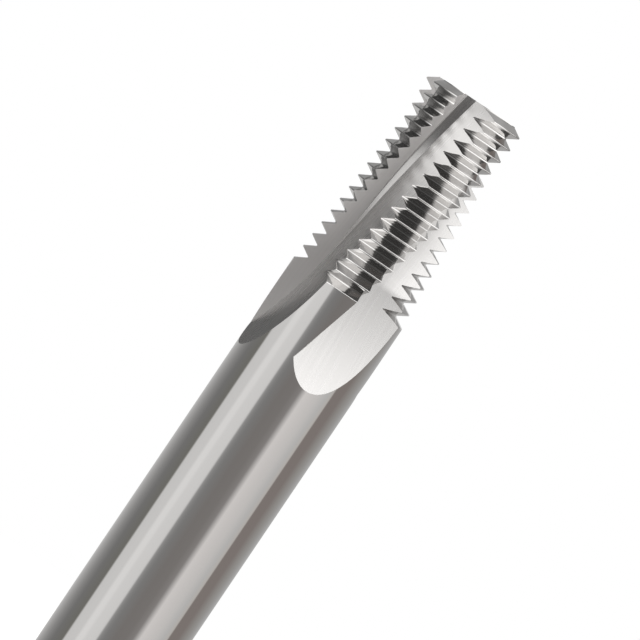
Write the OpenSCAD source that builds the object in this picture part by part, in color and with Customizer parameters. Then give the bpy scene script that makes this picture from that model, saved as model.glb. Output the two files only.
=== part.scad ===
// Solid carbide thread mill for taper pipe threads, ground from one bar.
// It stands on its shank end, with the axis on Z and the cutting head at the top.

/* [Shank] */
// Diameter of the plain shank
shank_d = 16; // [14:0.5:20]
// Length over all, from the shank end to the tip
overall_length = 105; // [90:1:140]
// Chamfer round the shank end
end_chamfer = 0.8; // [0.4:0.1:1.5]
// Clearance on the radius that the fluted neck has gained at the shoulder
neck_relief = 0.02; // [0.01:0.01:0.1]

/* [Teeth] */
// Distance between the rows of teeth, here 14 to the inch
pitch = 1.814; // [1.4:0.002:2.1]
// Rows of teeth along the head
tooth_rows = 15; // [8:1:17]
// Crest diameter of the row next to the shank
crest_d = 16; // [15:0.1:18]
// Taper of the head on its diameter, as one in this many
taper = 16; // [14:1:40]
// Angle between each flank and a plane across the axis
flank_angle = 30; // [27.5:0.5:30]
// Width of the flat on each crest
crest_flat = 0.13; // [0.06:0.01:0.2]
// Width of the flat in each root
root_flat = 0.13; // [0.06:0.01:0.2]
// Fall of the teeth behind their cutting edge, in degrees
relief_angle = 7.4; // [4:0.2:9]

/* [Flutes] */
// Number of flutes
flute_count = 4; // [3:1:5]
// Helix angle of the cutting edges, measured on the shank diameter
helix_angle = 17; // [8:0.5:24]
// Distance from the axis to the floor of a flute
floor_height = 4.35; // [3.4:0.05:4.6]
// Radius in the corner between the floor and the cutting face
corner_r = 0.2; // [0.1:0.1:0.8]
// Direction of the first cutting edge at the shoulder
edge_direction = -79; // [-180:1:180]

/* [Flute run-out] */
// Radius of the wheel that ground the floor
wheel_r = 70; // [40:1:90]
// Height over the shoulder below which the floor climbs
climb_start = 9.9; // [4:0.1:14]
// Height over the shoulder below which the floor no longer turns
turn_stop = 3.2; // [0:0.1:6]
// Lean of the cutting face in the run-out
runout_lean = 15.5; // [8:0.5:20]

/* [Hidden] */
shank_r = shank_d / 2;
neck_r = shank_r - neck_relief;
tooth_depth = (pitch - crest_flat - root_flat) / 2 / tan(flank_angle);
relief = crest_d / 2 * tan(relief_angle);
first_crest = overall_length - (tooth_rows - 0.5) * pitch;
shoulder = first_crest - pitch;
flute_step = 360 / flute_count;
// Turn of the cutting edge in degrees for each millimetre of height
edge_turn = tan(helix_angle) / shank_r * 180 / PI;
runout_turn = tan(runout_lean) / shank_r * 180 / PI;
// How far the run-out cutter stands clear of the shank, below and outside
clear = 0.5;
cutter_reach = 1.6 * shank_r;
runout_climb = shank_r + clear - floor_height;
runout_low = shoulder + climb_start - sqrt(2 * wheel_r * runout_climb - runout_climb ^ 2);
// How the head is let into the shank: depth, share of its size there, and turn
seat_depth = 1;
seat_scale = 0.85;
seat_turn = -4;
// Edge break left round the shoulder
edge_break = 0.02;
land_steps = 6;
corner_steps = 3;
runout_steps = 16;
shank_fn = 96;
heel_tries = 24;

function unit(angle) = [cos(angle), sin(angle)];

// Direction of the first cutting edge at height z
function edge_at(z) =
    edge_direction + (z - shoulder) * (z < shoulder ? runout_turn : edge_turn);

// Direction that the floor of the first flute faces at height z
function facing_at(z) = max(edge_at(z), edge_at(shoulder + turn_stop));

// Distance from the axis to the floor at height z, which climbs along the wheel's arc
function floor_at(z) =
    let (below = max(0, shoulder + climb_start - z))
    floor_height + wheel_r - sqrt(wheel_r ^ 2 - below ^ 2);

// Corner of the flute where the cutting face would meet the floor
function corner_at(z) = floor_at(z) / cos(facing_at(z) - edge_at(z)) * unit(edge_at(z));

// Rounded corner of a flute, from the cutting face to the floor
function corner_arc(z) =
    let (
        edge = edge_at(z),
        facing = facing_at(z),
        opening = 90 + facing - edge,
        middle = edge + opening / 2,
        centre = corner_at(z) + corner_r / sin(opening / 2) * unit(middle)
    )
    [for (i = [0:corner_steps]) centre + corner_r * unit(edge - 90 - i / corner_steps * (180 - opening))];

// Radius of a land, a given angle behind its cutting edge
function land_r(edge_r, fall, lag) = edge_r - fall * sin(lag);

// Angle behind the cutting edge where the land ends in the floor of the flute before it
function heel_lag(z, edge_r, fall, low, high, tries) =
    let (
        lag = (low + high) / 2,
        across = flute_step + edge_at(z) - facing_at(z) - lag,
        over = land_r(edge_r, fall, lag) * cos(across) - floor_at(z)
    )
    tries == 0 ? lag :
    over < 0 ? heel_lag(z, edge_r, fall, lag, high, tries - 1) :
    heel_lag(z, edge_r, fall, low, lag, tries - 1);

// One land from heel to cutting edge, and the flute corner that follows it
function land_and_corner(z, edge_r, fall) =
    let (
        span = flute_step + edge_at(z) - facing_at(z),
        heel = heel_lag(z, edge_r, fall, 0, span, heel_tries),
        land = [
            for (i = [0:land_steps])
            let (lag = heel * (1 - i / land_steps))
            land_r(edge_r, fall, lag) * unit(edge_at(z) - lag)
        ]
    )
    concat(land, corner_arc(z));

function turned(p, angle) =
    [p.x * cos(angle) - p.y * sin(angle), p.x * sin(angle) + p.y * cos(angle)];

// Whole section of the head at height z, with an edge radius and its fall
function head_ring(z, edge_r, fall) = [
    for (f = [0:flute_count - 1], p = land_and_corner(z, edge_r, fall))
    let (q = turned(p, f * flute_step))
    [q.x, q.y, z]
];

function crest_r(z) = crest_d / 2 - (z - first_crest) / (2 * taper);
function root_r(z) = crest_r(z) - tooth_depth;

// Part of the head that is let into the shank
function seat_ring() = [
    for (p = head_ring(shoulder + edge_break, neck_r - edge_break, 0))
    let (q = turned(seat_scale * p, seat_turn))
    [q.x, q.y, shoulder - seat_depth]
];

// Root below a row of teeth, then its crest
function row_rings(z) = [
    for (dz = [-root_flat / 2, root_flat / 2])
        head_ring(z - pitch / 2 + dz, root_r(z - pitch / 2 + dz), relief),
    for (dz = [-crest_flat / 2, crest_flat / 2])
        head_ring(z + dz, crest_r(z + dz), relief)
];

function head_rings() = [
    seat_ring(),
    head_ring(shoulder + edge_break, neck_r - edge_break, 0),
    for (row = [0:tooth_rows - 1]) each row_rings(first_crest + row * pitch),
    head_ring(overall_length - root_flat / 2, root_r(overall_length - root_flat / 2), relief),
    head_ring(overall_length, root_r(overall_length), relief)
];

// Faces that join each ring to the next
function skin_faces(rings, count) = [
    for (i = [0:rings - 2], k = [0:count - 1])
    let (a = i * count + k, b = i * count + (k + 1) % count)
    each [[a, a + count, b + count], [a, b + count, b]]
];

// End of the head: the core as triangles round its centre, and one face for each land
function head_cap(first, count, centre) =
    let (
        per_flute = count / flute_count,
        core = [
            for (f = [0:flute_count - 1], i = [land_steps + 1:per_flute - 1])
            first + f * per_flute + i
        ],
        size = len(core)
    )
    concat(
        [for (i = [0:size - 1]) [centre, core[i], core[(i + 1) % size]]],
        [for (f = [0:flute_count - 1])
            let (start = f * per_flute)
            concat(
                [first + start + land_steps + 1, first + (start + count - 1) % count],
                [for (i = [0:land_steps]) first + start + i]
            )
        ]
    );

function flipped(faces) = [for (f = faces) [for (i = [len(f) - 1:-1:0]) f[i]]];

// Section of the run-out cutter at height z
function cutter_ring(z) =
    let (
        corner = corner_at(z),
        up = cutter_reach * unit(edge_at(z)),
        along = cutter_reach * unit(facing_at(z) + 90),
        arc = corner_arc(z)
    )
    [
        for (p = concat([corner + up, corner + up + along, corner + along], [
            for (i = [corner_steps:-1:0]) arc[i]
        ]))
        [p.x, p.y, z]
    ];

// Body that the wheel takes out of the shank at one flute
module runout_cutter() {
    top = shoulder + clear;
    rings = [
        for (i = [0:runout_steps])
        cutter_ring(runout_low + (top - runout_low) * i / runout_steps)
    ];
    count = len(rings[0]);
    last = runout_steps * count;
    low_cap = [[for (k = [0:count - 1]) k]];
    high_cap = [[for (k = [count - 1:-1:0]) last + k]];
    polyhedron(
        [for (r = rings) each r],
        concat(skin_faces(len(rings), count), low_cap, high_cap)
    );
}

module shank() {
    difference() {
        rotate_extrude($fn = shank_fn)
            polygon([
                [0, 0],
                [shank_r - end_chamfer, 0],
                [shank_r, end_chamfer],
                [shank_r, runout_low],
                [neck_r, shoulder],
                [0, shoulder]
            ]);
        for (f = [0:flute_count - 1])
            rotate([0, 0, f * flute_step])
                runout_cutter();
    }
}

module cutting_head() {
    rings = head_rings();
    count = len(rings[0]);
    last = (len(rings) - 1) * count;
    low_centre = len(rings) * count;
    high_centre = low_centre + 1;
    polyhedron(
        concat(
            [for (r = rings) each r],
            [[0, 0, rings[0][0].z], [0, 0, overall_length]]
        ),
        concat(
            skin_faces(len(rings), count),
            head_cap(0, count, low_centre),
            flipped(head_cap(last, count, high_centre))
        )
    );
}

// The whole tool, one piece of carbide
module thread_mill() {
    color("#a3a09d")
        union() {
            shank();
            cutting_head();
        }
}

thread_mill();
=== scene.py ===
import math

import bmesh
import bpy
from mathutils import Matrix, Vector


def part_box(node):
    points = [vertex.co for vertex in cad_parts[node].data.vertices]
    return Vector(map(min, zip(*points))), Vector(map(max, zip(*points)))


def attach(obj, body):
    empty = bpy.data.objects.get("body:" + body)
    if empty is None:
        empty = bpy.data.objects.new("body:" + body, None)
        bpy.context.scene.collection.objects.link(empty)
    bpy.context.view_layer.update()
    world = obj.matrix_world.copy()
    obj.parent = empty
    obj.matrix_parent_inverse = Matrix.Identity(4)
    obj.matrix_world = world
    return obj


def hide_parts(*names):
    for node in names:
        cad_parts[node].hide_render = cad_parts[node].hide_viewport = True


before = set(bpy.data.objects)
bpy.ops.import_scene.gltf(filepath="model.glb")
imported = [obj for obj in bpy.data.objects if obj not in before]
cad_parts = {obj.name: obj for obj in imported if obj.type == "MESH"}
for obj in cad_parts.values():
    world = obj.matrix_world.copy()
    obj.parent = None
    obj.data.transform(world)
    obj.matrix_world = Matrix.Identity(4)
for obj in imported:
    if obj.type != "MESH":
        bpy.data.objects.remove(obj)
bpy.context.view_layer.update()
print("frame loaded")

mm = 0.001
scene = bpy.context.scene
scene.view_settings.view_transform = "Standard"


def toLinear(hexColour):
    channels = [int(hexColour[i:i + 2], 16) / 255 for i in (1, 3, 5)]
    return [c / 12.92 if c <= 0.04045 else ((c + 0.055) / 1.055) ** 2.4 for c in channels] + [1.0]


def addNode(tree, kind, settings=None, links=None):
    node = tree.nodes.new(kind)
    for name, value in (settings or {}).items():
        if isinstance(name, int) or name in node.inputs:
            node.inputs[name].default_value = value
        else:
            setattr(node, name, value)
    for name, source in (links or {}).items():
        tree.links.new(source, node.inputs[name])
    return node


def newMaterial(name):
    material = bpy.data.materials.new(name)
    material.use_nodes = True
    material.node_tree.nodes.clear()
    return material, material.node_tree


def newObject(name, bm):
    mesh = bpy.data.meshes.new(name)
    bm.to_mesh(mesh)
    bm.free()
    made = bpy.data.objects.new(name, mesh)
    scene.collection.objects.link(made)
    return made


# sizes of the mill in millimetres and degrees, the shank and length come from the frame
boxLow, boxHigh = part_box("thread_mill")
mill = {
    "shankRadius": (boxHigh.x - boxLow.x) / 2 / mm,
    "length": boxHigh.z / mm,
    "endChamfer": 0.8,
    "neckRelief": 0.02,
    "pitch": 1.814,
    "toothRows": 15,
    "crestRadius": 8.0,
    "taper": 16,             # one in this many, on the diameter
    "flankAngle": 30,
    "crestFlat": 0.13,
    "rootFlat": 0.13,
    "reliefAngle": 7.4,
    "flutes": 4,
    "helixAngle": 17,
    "floorHeight": 4.35,
    "stripAngle": 25,        # narrow ground strip between the cutting face and the floor, from the floor
    "stripGrowth": 0.048,    # its width for each millimetre over the shoulder
    "stripLeast": 0.02,
    "stripRound": 0.1,       # share of its width that is rounded into the cutting face
    "edgeBreak": 0.12,       # round the shoulder
    "edgeDirection": -79,    # first cutting edge at the shoulder
    "wheelRadius": 70,       # grinding wheel that left the run-out
    "climbStart": 9.9,       # above the shoulder
    "turnStop": 3.2,
    "runoutLean": 15.5,
    "mergeDistance": 0.0002,
}
columns = {"land": 32, "rake": 5, "corner": 10, "floor": 12}  # faces across each flute's section
rows = {"runoutEnd": 18, "runoutSide": 14, "flank": 2, "shoulder": 8, "arc": 3, "shank": 3}

fluteStep = 360 / mill["flutes"]
flankSlope = math.tan(math.radians(mill["flankAngle"]))
toothDepth = (mill["pitch"] - mill["crestFlat"] - mill["rootFlat"]) / 2 / flankSlope
crestRound = mill["crestFlat"] / 2 / flankSlope
fall = mill["crestRadius"] * math.tan(math.radians(mill["reliefAngle"]))
firstCrest = mill["length"] - (mill["toothRows"] - 0.5) * mill["pitch"]
shoulder = firstCrest - mill["pitch"]
edgeTurn = math.degrees(math.tan(math.radians(mill["helixAngle"])) / mill["shankRadius"])
runoutTurn = math.degrees(math.tan(math.radians(mill["runoutLean"])) / mill["shankRadius"])


def edgeAt(z):
    return mill["edgeDirection"] + (z - shoulder) * (runoutTurn if z < shoulder else edgeTurn)


def facingAt(z):  # the floor stops turning a little above the shoulder
    return max(edgeAt(z), edgeAt(shoulder + mill["turnStop"]))


def floorAt(z):  # the floor climbs along the wheel's arc into the run-out
    below = min(max(0, shoulder + mill["climbStart"] - z), mill["wheelRadius"])
    return mill["floorHeight"] + mill["wheelRadius"] - math.sqrt(mill["wheelRadius"] ** 2 - below ** 2)


def stripAt(z):  # the strip starts at the shoulder and widens towards the tip
    return max(mill["stripLeast"], mill["stripGrowth"] * (z - shoulder))


def solve(low, high, rising, halvings=50):  # halving between two ends
    for _ in range(halvings):
        middle = (low + high) / 2
        if rising(middle) < 0:
            low = middle
        else:
            high = middle
    return (low + high) / 2


def polar(radius, angle):
    return Vector((radius * math.cos(math.radians(angle)), radius * math.sin(math.radians(angle))))


wellBelow = shoulder - 40  # under the lowest point that a run-out can reach
runoutStart = solve(wellBelow, shoulder, lambda z: mill["shankRadius"] - floorAt(z))


def neckAt(z):
    share = (z - runoutStart) / (shoulder - runoutStart)
    return mill["shankRadius"] - mill["neckRelief"] * min(max(share, 0), 1)


def crestAt(z):
    return mill["crestRadius"] - (z - firstCrest) / (2 * mill["taper"])


def landRadius(edgeRadius, drop, lag):
    return edgeRadius - drop * math.sin(math.radians(lag))


# outline of one land and the flute after it, anticlockwise from the heel
def section(z, edgeRadius, drop, fluted=True):
    edge, facing, floor = edgeAt(z), facingAt(z), floorAt(z)
    if not fluted or floor >= edgeRadius:
        angles = [facing - fluteStep * (1 - i / columns["land"]) for i in range(columns["land"] + 1)]
        land = [polar(edgeRadius, a) for a in angles]
        return land + [land[-1]] * (columns["rake"] + columns["corner"] + columns["floor"] - 1)
    span = fluteStep + edge - facing
    heel = solve(0, span, lambda lag: landRadius(edgeRadius, drop, lag)
                 * math.cos(math.radians(span - lag)) - floor)
    cornerDistance = floor / math.cos(math.radians(facing - edge))
    lead = 0 if cornerDistance < edgeRadius else edge - facing + math.degrees(math.acos(floor / edgeRadius))
    lags = [heel + (lead - heel) * i / columns["land"] for i in range(columns["land"] + 1)]
    land = [polar(landRadius(edgeRadius, drop, lag), edge - lag) for lag in lags]
    if cornerDistance < edgeRadius:
        corner = polar(cornerDistance, edge)
        width = min(stripAt(z), edgeRadius - cornerDistance)
        slant = math.radians(mill["stripAngle"])
        top = corner + polar(width * math.sin(slant), edge)
        foot = corner + polar(width * math.cos(slant), facing + 90)
        first = top + polar(width * mill["stripRound"], edge)
        last = top.lerp(foot, mill["stripRound"])
        half = columns["corner"] // 2
        steps = [i / half for i in range(half + 1)]
        arc = [first.lerp(top, s).lerp(top.lerp(last, s), s) for s in steps]
        arc += [last.lerp(foot, s) for s in steps[1:]]
        rake = [land[-1].lerp(arc[0], i / columns["rake"]) for i in range(1, columns["rake"])]
    else:
        arc = [land[-1]] * (columns["corner"] + 1)
        rake = [land[-1]] * (columns["rake"] - 1)
    nextHeel = polar(landRadius(edgeRadius, drop, heel), edge - heel + fluteStep)
    across = [arc[-1].lerp(nextHeel, i / columns["floor"]) for i in range(1, columns["floor"])]
    return land + rake + arc + across


def ringPoints(z, edgeRadius, drop, fluted=True):
    one = section(z, edgeRadius, drop, fluted)
    points = []
    for f in range(mill["flutes"]):
        turn = Matrix.Rotation(math.radians(f * fluteStep), 2)
        points += [(turn @ p).to_3d() * mm + Vector((0, 0, z * mm)) for p in one]
    return points


# every ring from the shank end to the tip: height, edge radius, drop behind the edge, sharp or smooth
def ringList():
    rings = [(0, mill["shankRadius"] - mill["endChamfer"], 0, True)]
    for i in range(rows["shank"] + 1):
        z = mill["endChamfer"] + (runoutStart - mill["endChamfer"]) * i / rows["shank"]
        rings.append((z, mill["shankRadius"], 0, i == 0))
    cornerOut = solve(runoutStart, shoulder,
                      lambda z: neckAt(z) * math.cos(math.radians(facingAt(z) - edgeAt(z))) - floorAt(z))
    widest = facingAt(cornerOut) - edgeAt(cornerOut)
    for i in range(1, rows["runoutEnd"] + 1):
        half = math.cos(math.radians(widest * i / rows["runoutEnd"]))
        z = solve(runoutStart, shoulder, lambda z: neckAt(z) * half - floorAt(z))
        rings.append((z, neckAt(z), 0, False))
    lean = 90 - mill["flankAngle"]
    nearShoulder = shoulder - mill["edgeBreak"] * math.tan(math.radians(lean / 2))
    for i in range(1, rows["runoutSide"] + 1):
        z = cornerOut + (nearShoulder - cornerOut) * i / rows["runoutSide"]
        rings.append((z, neckAt(z), 0, i == rows["runoutSide"]))
    for i in range(1, rows["arc"] + 1):  # broken edge of the shoulder
        turn = math.radians(lean * i / rows["arc"])
        rings.append((nearShoulder + mill["edgeBreak"] * math.sin(turn),
                      neckAt(shoulder) - mill["edgeBreak"] * (1 - math.cos(turn)), 0, i == rows["arc"]))
    lastHalf = 2 * mill["toothRows"]
    for half in range(lastHalf + 1):  # roots and crests by turns
        z = firstCrest + (half - 1) * mill["pitch"] / 2
        if half % 2 == 0:  # flat roots, half of one at the tip
            sides = [-1, 0] if half == lastHalf else [-1, 1]
            arc = [(z + side * mill["rootFlat"] / 2, crestAt(z) - toothDepth, fall, True) for side in sides]
        else:  # rounded crests
            arc = []
            for i in range(2 * rows["arc"] + 1):
                turn = math.radians(lean * (i / rows["arc"] - 1))
                bulge = crestRound * (1 - math.cos(turn))
                isEnd = i in (0, 2 * rows["arc"])
                arc.append((z + crestRound * math.sin(turn), crestAt(z) - bulge, fall, isEnd))
        below = rings[-1]
        steps = rows["flank"] if half else rows["shoulder"]
        for i in range(1, steps):
            share = i / steps
            rings.append(tuple(a + (b - a) * share for a, b in zip(below[:3], arc[0][:3])) + (False,))
        rings += arc
    return rings


def ringEdges(bm, ring):
    return [bm.edges.get((a, b)) for a, b in zip(ring, ring[1:] + ring[:1])]


def extrudeRing(bm, ring, points):
    made = bmesh.ops.extrude_edge_only(bm, edges=ringEdges(bm, ring))["geom"]
    fresh = {g for g in made if isinstance(g, bmesh.types.BMVert)}
    above = [next(e.other_vert(v) for e in v.link_edges if e.other_vert(v) in fresh) for v in ring]
    for v, p in zip(above, points):
        v.co = p
    return above, [g for g in made if isinstance(g, bmesh.types.BMFace)]


# cemented carbide, bare: a hard pale grey metal that takes a near mirror polish
carbide = {
    "lineSpacing": 0.45,     # grinding lines in mm, drawn coarser than real so that they show
    "lineLength": 25.0,
    "lineDepth": 0.002,      # bump distance in mm
    "floorShift": 20,        # mm, so that the floor's lines differ from the cutting face's
    "swing": (0.9, 1.12),    # least and most of a finish's roughness along its lines
    "finishes": {
        # ground round and polished: mirror bands that run straight along the shank
        "shank": {"name": "polishedCarbideShank", "colour": "#dddcdb", "roughness": 0.055, "bump": 0.15,
                  "linesRound": True, "grain": 0, "edgeTint": "#ffffff"},
        # form ground: bright crests and crisp black and white bars in the grooves
        "teeth": {"name": "groundCarbideTeeth", "colour": "#dddcdb", "roughness": 0.05, "bump": 0.05,
                  "linesRound": True, "grain": 0, "edgeTint": "#ffffff"},
        # face ground: an even satin grey without clear reflections; its grey is lifted above the flute's
        # against the shade near the corner: painted light
        "rake": {"name": "groundCarbideRakePaintedLight", "colour": "#d1cfce", "roughness": 0.6, "bump": 0.1,
                 "linesRound": False, "grain": 0, "edgeTint": "#ffffff"},
        # narrow strip left by the wheel's corner: dark near the tip, a bright streak lower down; its grey
        # is the flute's darker grey: painted shade
        "corner": {"name": "groundCarbideCornerPaintedShade", "colour": "#c7c6c5", "roughness": 0.25, "bump": 0.02,
                   "linesRound": False, "grain": 0, "edgeTint": "#ffffff"},
        # flute ground along its length: soft light, spread across fine long lines; its grey is set darker
        # than the shank's: painted shade
        "floor": {"name": "groundCarbideFlutePaintedShade", "colour": "#c7c6c5", "roughness": 0.28, "bump": 0.005,
                  "linesRound": False, "grain": 0.7, "edgeTint": "#ffffff"},
        # end ground flat: its grey and edge tint are darkened so that it stays dull, also at a grazing
        # angle: painted shade
        "tip": {"name": "groundCarbideTipPaintedShade", "colour": "#b0afae", "roughness": 0.14, "bump": 0.1,
                "linesRound": False, "grain": 0, "edgeTint": "#a8a7a6"},
    },
}
finishOrder = list(carbide["finishes"])


def buildMill():
    patches = ["land"] * columns["land"] + ["rake"] * columns["rake"]
    patches += ["corner"] * columns["corner"] + ["floor"] * columns["floor"]
    bm = bmesh.new()
    uvLayer = bm.loops.layers.uv.new("grind")
    rings = ringList()
    count = len(patches) * mill["flutes"]
    bmesh.ops.create_circle(bm, segments=count, radius=mill["shankRadius"] * mm)
    bm.verts.ensure_lookup_table()
    ring = list(bm.verts)
    for v, p in zip(ring, ringPoints(*rings[0][:3], fluted=False)):
        v.co = p
    bottom = ring
    for z, edgeRadius, drop, sharp in rings[1:]:
        place = {v: k for k, v in enumerate(ring)}
        above, faces = extrudeRing(bm, ring, ringPoints(z, edgeRadius, drop, z > runoutStart))
        for k, v in enumerate(above):
            place[v] = k
            patch = patches[k % len(patches)]
            if patch != patches[k % len(patches) - 1]:  # edges that the wheel left along the flute
                bm.edges.get((v, ring[k])).smooth = False
            if sharp and patch == "land":
                bm.edges.get((v, above[(k + 1) % count])).smooth = False
        for face in faces:
            ks = sorted({place[v] for v in face.verts})
            k = ks[0] if ks[1] == ks[0] + 1 else ks[1]
            patch = patches[k % len(patches)]
            turn = math.radians((k // len(patches)) * fluteStep)
            if patch == "land":
                face.material_index = finishOrder.index("teeth" if z > shoulder else "shank")
            else:
                face.material_index = finishOrder.index(patch)
            for loop in face.loops:  # millimetres across and along the way the wheel ran
                p = loop.vert.co / mm
                edge = math.radians(edgeAt(p.z)) + turn
                if patch == "land":
                    lag = (edge - math.atan2(p.y, p.x) + math.pi) % (2 * math.pi) - math.pi
                    loop[uvLayer].uv = (lag * mill["shankRadius"], p.z)
                elif patch == "rake":
                    loop[uvLayer].uv = (math.hypot(p.x, p.y), p.z)
                else:
                    facing = math.radians(facingAt(p.z)) + turn
                    across = carbide["floorShift"] + p.y * math.cos(facing) - p.x * math.sin(facing)
                    loop[uvLayer].uv = (across, p.z)
        ring = above
    tip = bmesh.ops.contextual_create(bm, geom=ringEdges(bm, ring))
    end = bmesh.ops.contextual_create(bm, geom=ringEdges(bm, bottom))
    for face, finish in ((tip["faces"][0], "tip"), (end["faces"][0], "shank")):
        face.material_index = finishOrder.index(finish)
        for edge in face.edges:
            edge.smooth = False
        for loop in face.loops:
            loop[uvLayer].uv = (loop.vert.co.x / mm, loop.vert.co.y / mm)
    bmesh.ops.remove_doubles(bm, verts=bm.verts, dist=mill["mergeDistance"] * mm)
    bmesh.ops.recalc_face_normals(bm, faces=bm.faces)
    for edge in bm.edges:
        if len({face.material_index for face in edge.link_faces}) > 1:
            edge.smooth = False
    piece = newObject("threadMill", bm)
    mesh = piece.data
    mesh.polygons.foreach_set("use_smooth", [True] * len(mesh.polygons))
    normals = [corner.vector.copy() for corner in mesh.corner_normals]
    steepest = 0.1  # leaves out the chamfer and the shank end
    for face in mesh.polygons:  # a true cylinder's normals, so that the shank's reflections run straight
        if face.material_index == finishOrder.index("shank") and abs(face.normal.z) < steepest:
            for k in face.loop_indices:
                p = mesh.vertices[mesh.loops[k].vertex_index].co
                normals[k] = Vector((p.x, p.y, 0)).normalized()
    mesh.normals_split_custom_set(normals)
    print("mill built,", len(mesh.polygons), "faces")
    return piece


def carbideFinish(finish):
    material, tree = newMaterial(finish["name"])
    uv = addNode(tree, "ShaderNodeUVMap", {"uv_map": "grind"})
    fine, long = 1 / carbide["lineSpacing"], 1 / carbide["lineLength"]
    scale = (long, fine, 1) if finish["linesRound"] else (fine, long, 1)
    stretch = addNode(tree, "ShaderNodeMapping", {"Scale": scale}, {"Vector": uv.outputs["UV"]})
    lines = addNode(tree, "ShaderNodeTexNoise", {"Scale": 1.0, "Detail": 4.0, "Roughness": 0.6},
                    {"Vector": stretch.outputs["Vector"]})
    least, most = [finish["roughness"] * share for share in carbide["swing"]]
    spread = addNode(tree, "ShaderNodeMapRange",
                     {"From Min": 0.3, "From Max": 0.7, "To Min": least, "To Max": most},
                     {"Value": lines.outputs["Fac"]})
    bump = addNode(tree, "ShaderNodeBump",
                   {"Strength": finish["bump"], "Distance": carbide["lineDepth"] * mm},
                   {"Height": lines.outputs["Fac"]})
    across = addNode(tree, "ShaderNodeTangent", {"direction_type": "UV_MAP", "uv_map": "grind"})
    shader = addNode(tree, "ShaderNodeBsdfPrincipled",
                     {"Base Color": toLinear(finish["colour"]), "Metallic": 1.0,
                      "Anisotropic": finish["grain"], "Specular Tint": toLinear(finish["edgeTint"])},
                     {"Roughness": spread.outputs["Result"], "Normal": bump.outputs["Normal"],
                      "Tangent": across.outputs["Tangent"]})
    addNode(tree, "ShaderNodeOutputMaterial", {}, {"Surface": shader.outputs["BSDF"]})
    return material


threadMill = buildMill()
for finish in carbide["finishes"].values():
    threadMill.data.materials.append(carbideFinish(finish))
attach(threadMill, "root")
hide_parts("thread_mill")
print("carbide finishes set")


def directRays(tree):  # one for what the camera, metal and glass see, nothing for other light
    path = addNode(tree, "ShaderNodeLightPath")
    seen = addNode(tree, "ShaderNodeMath", {"operation": "ADD", "use_clamp": True},
                   {0: path.outputs["Is Camera Ray"], 1: path.outputs["Is Glossy Ray"]})
    seenAll = addNode(tree, "ShaderNodeMath", {"operation": "ADD", "use_clamp": True},
                      {0: seen.outputs[0], 1: path.outputs["Is Transmission Ray"]})
    return seenAll.outputs[0]


# pale floor, white to the camera away from the foot, so that only the shadow shows
floorPlan = {"size": 6.0, "colour": "#f2f1ef", "shadowRadius": 0.12, "fade": 0.1}


def buildFloor():
    bm = bmesh.new()
    bmesh.ops.create_grid(bm, x_segments=1, y_segments=1, size=floorPlan["size"] / 2)
    floor = newObject("floor", bm)
    material, tree = newMaterial("paleFloor")
    place = addNode(tree, "ShaderNodeTexCoord")
    distance = addNode(tree, "ShaderNodeVectorMath", {"operation": "LENGTH"}, {0: place.outputs["Object"]})
    shadowEnd = floorPlan["shadowRadius"] + floorPlan["fade"]
    far = addNode(tree, "ShaderNodeMapRange",
                  {"From Min": floorPlan["shadowRadius"], "From Max": shadowEnd},
                  {"Value": distance.outputs["Value"]})
    share = addNode(tree, "ShaderNodeMath", {"operation": "MULTIPLY"},
                    {0: far.outputs["Result"], 1: directRays(tree)})
    matt = addNode(tree, "ShaderNodeBsdfDiffuse", {"Color": toLinear(floorPlan["colour"])})
    white = addNode(tree, "ShaderNodeEmission", {"Color": (1, 1, 1, 1), "Strength": 1.0})
    mix = addNode(tree, "ShaderNodeMixShader", {},
                  {0: share.outputs[0], 1: matt.outputs["BSDF"], 2: white.outputs["Emission"]})
    addNode(tree, "ShaderNodeOutputMaterial", {}, {"Surface": mix.outputs["Shader"]})
    floor.data.materials.append(material)


buildFloor()

# white world for what the camera and the metal see, softer for the floor
worldPlan = {"ambient": 0.8}
world = bpy.data.worlds.new("studio")
scene.world = world
world.use_nodes = True
world.node_tree.nodes.clear()
level = addNode(world.node_tree, "ShaderNodeMapRange", {"To Min": worldPlan["ambient"], "To Max": 1.0},
                {"Value": directRays(world.node_tree)})
background = addNode(world.node_tree, "ShaderNodeBackground", {"Color": (1, 1, 1, 1)},
                     {"Strength": level.outputs["Result"]})
addNode(world.node_tree, "ShaderNodeOutputWorld", {}, {"Surface": background.outputs["Background"]})


def showOnlyInMetal(thing):
    thing.visible_camera = False
    thing.visible_diffuse = False
    thing.visible_shadow = False


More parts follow.
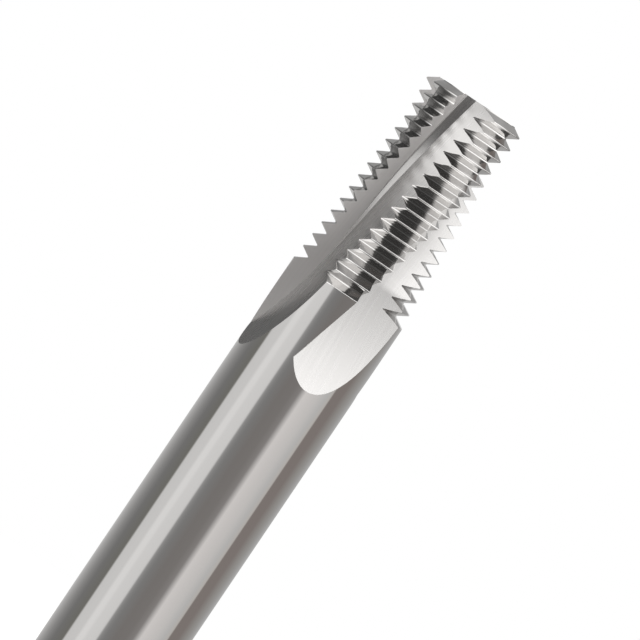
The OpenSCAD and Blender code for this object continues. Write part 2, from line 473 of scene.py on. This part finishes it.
# light tent round the mill, seen only in the metal: a floor and a round wall, in metres
tent = {
    "radius": 0.14,
    "height": 0.45,
    "inner": 0.0084,         # hole in the tent's floor, round the tool's foot
    "floorGap": 0.0003,
    "hem": 0.001,
    "sides": 90,
    "strength": 1.4,
    "tint": "#fffefd",
    # where one ring turns into the next, over the cloth from the tool's foot
    "blends": [(0.035, 0.048), (0.073, 0.093), (0.105, 0.1405), (0.212, 0.220), (0.239, 0.246),
               (0.259, 0.263), (0.300, 0.315), (0.365, 0.400)],
    # rings outwards and up the wall: azimuth from the camera's side to the right, tone, and any tint
    "tones": {
        "heel": [(-180, 0.3), (-110, 0.3), (-80, 1.0), (80, 1.0), (110, 0.4), (180, 0.3)],
        "foot": [(-180, 0.3), (-110, 0.15), (-95, 0.3), (-80, 0.6), (-42, 0.6), (-30, 0.1), (28, 0.1),
                 (36, 0.6), (60, 1.0), (85, 0.9), (96, 0.3), (120, 0.3), (180, 0.3)],
        "table": [(-180, 0.3), (-110, 0.15), (-86, 0.25), (-70, 0.35), (-40, 0.35), (-26, 0.45),
                  (26, 0.5), (38, 1.0), (50, 1.3), (80, 1.2), (92, 0.7), (98, 0.25), (112, 0.25),
                  (125, 0.4), (150, 0.4), (180, 0.3)],
        "low": [(-180, 0.6), (-156, 0.55), (-133, 0.41), (-121, 0.32), (-111, 0.26), (-103, 0.216),
                (-81, 0.2, "#fffdf3"), (-77.5, 0.74), (-66, 0.76), (-60, 0.76), (-55, 0.9), (-48, 0.9),
                (-43, 0.82), (-27, 0.8), (-23.8, 0.36), (-20, 0.29), (-15, 0.25), (0, 0.232, "#fff8f4"),
                (15, 0.24, "#fff8f4"), (26, 0.29, "#fff9f6"), (30, 0.48, "#fffbf9"),
                (36.5, 0.8, "#fffbf9"), (48, 0.75, "#fffbf9"), (60, 0.7, "#fffcfa"), (73, 0.6),
                (81.5, 0.6, "#fffaf5"), (84, 0.265, "#fff1eb"), (104, 0.265, "#fff1eb"),
                (120, 0.34, "#fffaf5"), (144, 0.43), (168, 0.5), (180, 0.52)],
        "mid": [(-180, 0.5), (-165, 0.3), (-150, 0.2), (-110, 0.07), (-90, 0.1), (-80, 0.12), (-73, 1.0),
                (-48, 1.4), (-30, 1.4), (-22, 1.25), (-19, 0.13), (-12, 0.08), (20, 0.08), (29, 0.13),
                (33, 0.75), (38, 1.05), (60, 1.2), (75, 1.05), (80, 0.2), (108, 0.12), (130, 0.4),
                (160, 0.7), (180, 0.8)],
        "high": [(-180, 0.3), (-130, 0.14), (-106, 0.12), (-98, 0.45), (-88, 0.8), (-72, 1.4),
                 (-60, 1.7), (-36, 1.7), (-31, 0.5), (-25, 0.25), (0, 0.2), (22, 0.25), (28, 0.9),
                 (34, 1.4), (66, 1.4), (76, 1.6), (105, 1.7), (112, 0.3), (122, 0.3), (160, 0.4),
                 (180, 0.3)],
        "top": [(-180, 0.35), (-150, 0.3), (-118, 0.15), (-104, 0.2), (-92, 0.6), (-80, 1.1), (-66, 1.6),
                (-40, 1.7), (-32, 0.5), (16, 0.45), (26, 1.6), (36, 1.75), (60, 1.75), (84, 1.6),
                (104, 1.7), (112, 0.6), (125, 0.35), (150, 0.4), (180, 0.35)],
        "sky": [(-180, 0.35), (-150, 0.3), (-118, 0.1), (-100, 0.15), (-86, 0.5), (-70, 1.0), (-45, 1.0),
                (-34, 0.45), (16, 0.45), (28, 1.0), (60, 1.2), (84, 0.9), (94, 0.2), (100, 0.1),
                (118, 0.1), (135, 0.3), (160, 0.4), (180, 0.35)],
        "zenith": [(-180, 0.4), (-120, 0.4), (-70, 1.7), (70, 1.7), (120, 0.6), (180, 0.4)],
    },
}


def buildTent():
    bm = bmesh.new()
    low = tent["floorGap"]
    wall = [(tent["radius"], 0, z) for z in (low, low + tent["hem"], tent["height"])]
    corners = [bmesh.ops.create_vert(bm, co=p)["vert"][0] for p in [(tent["inner"], 0, low)] + wall]
    edges = [bm.edges.new(pair) for pair in zip(corners, corners[1:])]
    bmesh.ops.spin(bm, geom=corners + edges, cent=(0, 0, 0), axis=(0, 0, 1), dvec=(0, 0, 0),
                   angle=2 * math.pi, steps=tent["sides"], use_merge=True)
    cloth = newObject("lightTent", bm)
    material, tree = newMaterial("tentCloth")
    place = addNode(tree, "ShaderNodeTexCoord")
    axes = addNode(tree, "ShaderNodeSeparateXYZ", {}, {"Vector": place.outputs["Object"]})
    front = addNode(tree, "ShaderNodeMath", {"operation": "MULTIPLY", 1: -1.0}, {0: axes.outputs["Y"]})
    azimuth = addNode(tree, "ShaderNodeMath", {"operation": "ARCTAN2"},
                      {0: axes.outputs["X"], 1: front.outputs[0]})
    share = addNode(tree, "ShaderNodeMapRange", {"From Min": -math.pi, "From Max": math.pi},
                    {"Value": azimuth.outputs[0]})
    flat = addNode(tree, "ShaderNodeVectorMath", {"operation": "MULTIPLY", 1: (1, 1, 0)},
                   {0: place.outputs["Object"]})
    out = addNode(tree, "ShaderNodeVectorMath", {"operation": "LENGTH"}, {0: flat.outputs["Vector"]})
    along = addNode(tree, "ShaderNodeMath", {"operation": "ADD"},
                    {0: out.outputs["Value"], 1: axes.outputs["Z"]})
    shown = None
    for ring, stops in enumerate(tent["tones"].values()):
        ramp = addNode(tree, "ShaderNodeValToRGB", {}, {"Fac": share.outputs["Result"]})
        elements = ramp.color_ramp.elements
        while len(elements) < len(stops):
            elements.new(0.5)
        for element, stop in zip(elements, stops):
            element.position = (stop[0] + 180) / 360
        for element, stop in zip(elements, stops):
            tint = toLinear(stop[2] if len(stop) > 2 else tent["tint"])
            element.color = [stop[1] / tent["strength"] * c for c in tint[:3]] + [1]
        if shown is None:
            shown = ramp.outputs["Color"]
            continue
        lower, upper = tent["blends"][ring - 1]
        rise = addNode(tree, "ShaderNodeMapRange", {"From Min": lower, "From Max": upper},
                       {"Value": along.outputs[0]})
        mix = addNode(tree, "ShaderNodeMix", {"data_type": "RGBA"},
                      {0: rise.outputs["Result"], 6: shown, 7: ramp.outputs["Color"]})
        shown = mix.outputs[2]
    glow = addNode(tree, "ShaderNodeEmission", {"Strength": tent["strength"]}, {"Color": shown})
    addNode(tree, "ShaderNodeOutputMaterial", {}, {"Surface": glow.outputs["Emission"]})
    cloth.data.materials.append(material)
    showOnlyInMetal(cloth)


buildTent()

# dark card beside the head, seen only in the metal: it darkens the grooves of the left land near the tip
card = {"radius": 0.055, "low": 0.067, "high": 0.096, "from": -134, "to": -88, "sides": 24, "tone": 0.07}


def buildCard():
    bm = bmesh.new()
    start = math.radians(card["from"])
    across = Vector((math.sin(start), -math.cos(start), 0)) * card["radius"]
    heights = [Vector((0, 0, card[end])) for end in ("low", "high")]
    corners = [bmesh.ops.create_vert(bm, co=across + height)["vert"][0] for height in heights]
    side = bm.edges.new(corners)
    bmesh.ops.spin(bm, geom=corners + [side], cent=(0, 0, 0), axis=(0, 0, 1), dvec=(0, 0, 0),
                   angle=math.radians(card["to"] - card["from"]), steps=card["sides"])
    board = newObject("darkCard", bm)
    material, tree = newMaterial("darkCard")
    glow = addNode(tree, "ShaderNodeEmission", {"Strength": card["tone"]})
    addNode(tree, "ShaderNodeOutputMaterial", {}, {"Surface": glow.outputs["Emission"]})
    board.data.materials.append(material)
    showOnlyInMetal(board)


buildCard()

# soft lamp above, for the shadow at the foot
lampPlan = {"place": (0.25, -0.3, 0.7), "size": 0.5, "power": 6.0}
lamp = bpy.data.lights.new("softLamp", "AREA")
lamp.energy = lampPlan["power"]
lamp.size = lampPlan["size"]
lampObject = bpy.data.objects.new("softLamp", lamp)
lampObject.location = lampPlan["place"]
lampObject.rotation_mode = "QUATERNION"
lampObject.rotation_quaternion = (-Vector(lampPlan["place"])).to_track_quat("-Z", "Y")
scene.collection.objects.link(lampObject)
print("studio set")

# long lens a little above the middle of the tool, rolled so that the mill leans to the right
cameraPlan = {
    "target": (-0.99, 0, 72.2),  # millimetres, like the distance and the sensor
    "distance": 550,
    "elevation": 2.9,
    "roll": 34,
    "pixelsPerMm": 8.175,
    "picture": 640,              # pixels across
    "sensor": 36,
    "nearest": 0.01,
}
lift = math.radians(cameraPlan["elevation"])
roll = math.radians(cameraPlan["roll"])
back = Vector((0, -math.cos(lift), math.sin(lift)))
plainRight = Vector((1, 0, 0))
plainUp = back.cross(plainRight)
right = plainRight * math.cos(roll) + plainUp * math.sin(roll)
up = plainUp * math.cos(roll) - plainRight * math.sin(roll)
cameraData = bpy.data.cameras.new("camera")
cameraData.sensor_width = cameraPlan["sensor"]
distancePixels = cameraPlan["distance"] * cameraPlan["pixelsPerMm"]
cameraData.lens = cameraPlan["sensor"] * distancePixels / cameraPlan["picture"]
cameraData.clip_start = cameraPlan["nearest"]
camera = bpy.data.objects.new("camera", cameraData)
turn = Matrix((right, up, back)).transposed().to_4x4()
stand = (Vector(cameraPlan["target"]) + back * cameraPlan["distance"]) * mm
camera.matrix_world = Matrix.Translation(stand) @ turn
scene.collection.objects.link(camera)
scene.camera = camera
print("camera set")
